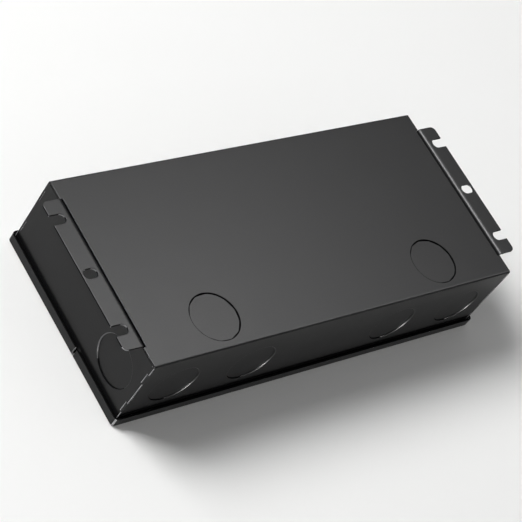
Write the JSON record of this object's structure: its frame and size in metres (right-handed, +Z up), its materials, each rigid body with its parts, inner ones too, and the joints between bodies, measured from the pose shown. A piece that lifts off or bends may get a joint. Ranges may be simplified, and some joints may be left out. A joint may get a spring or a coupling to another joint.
{
  "type": "led_driver",
  "caption": "Black junction-box LED driver: folded steel box with slotted mounting ears, round knockouts, two rimmed covers and a driver board behind the wiring compartment",
  "frame": {"origin": "bottom centre of the bounding box, on the covers' outer face", "axes": "+X along the length towards the right end plate, +Y from the wiring side to the driver side, +Z up through the back face that is mounted"},
  "size_m": [0.2188, 0.093, 0.0422],
  "materials": {
    "black_powder_coat": "satin powder coat",
    "zinc_plated_sheet": "satin",
    "zinc_plated_screw": "satin",
    "green_screw": "satin",
    "brass": "satin",
    "insulating_film": "satin",
    "board_laminate": "satin",
    "terminal_plastic": "matte",
    "white_plastic": "matte",
    "black_epoxy": "matte",
    "blue_epoxy": "gloss",
    "yellow_plastic": "satin",
    "ferrite": "matte",
    "copper_wire": "enamelled",
    "yellow_tape": "satin",
    "bobbin_plastic": "matte",
    "aluminium_sheet": "satin",
    "capacitor_sleeve": "satin"
  },
  "bodies": {
    "root": {"back_pan": "black_powder_coat", "left_end_plate": "black_powder_coat", "right_end_plate": "black_powder_coat", "partition": "zinc_plated_sheet", "driver_cover": "black_powder_coat", "wiring_cover": "black_powder_coat", "driver_cover_screws": "zinc_plated_screw", "wiring_cover_screws": "zinc_plated_screw", "insulating_liner": "insulating_film", "standoffs": "brass", "circuit_board": "board_laminate", "board_screws": "zinc_plated_screw", "input_terminal": "terminal_plastic", "output_terminal": "terminal_plastic", "terminal_screws": "zinc_plated_screw", "ground_screw": "green_screw", "fuse": "black_epoxy", "varistor": "blue_epoxy", "choke_core": "ferrite", "choke_windings": "copper_wire", "filter_capacitor": "yellow_plastic", "bridge_rectifier": "black_epoxy", "boost_core": "ferrite", "boost_winding": "copper_wire", "switch_transistor": "black_epoxy", "input_heat_sink": "aluminium_sheet", "bulk_capacitors": "capacitor_sleeve", "control_chip": "black_epoxy", "optocoupler": "white_plastic", "transformer_core": "ferrite", "transformer_winding": "yellow_tape", "transformer_bobbin": "bobbin_plastic", "output_rectifier": "black_epoxy", "output_heat_sink": "aluminium_sheet", "device_screws": "zinc_plated_screw", "output_capacitors": "capacitor_sleeve"}
  },
  "joints": []
}
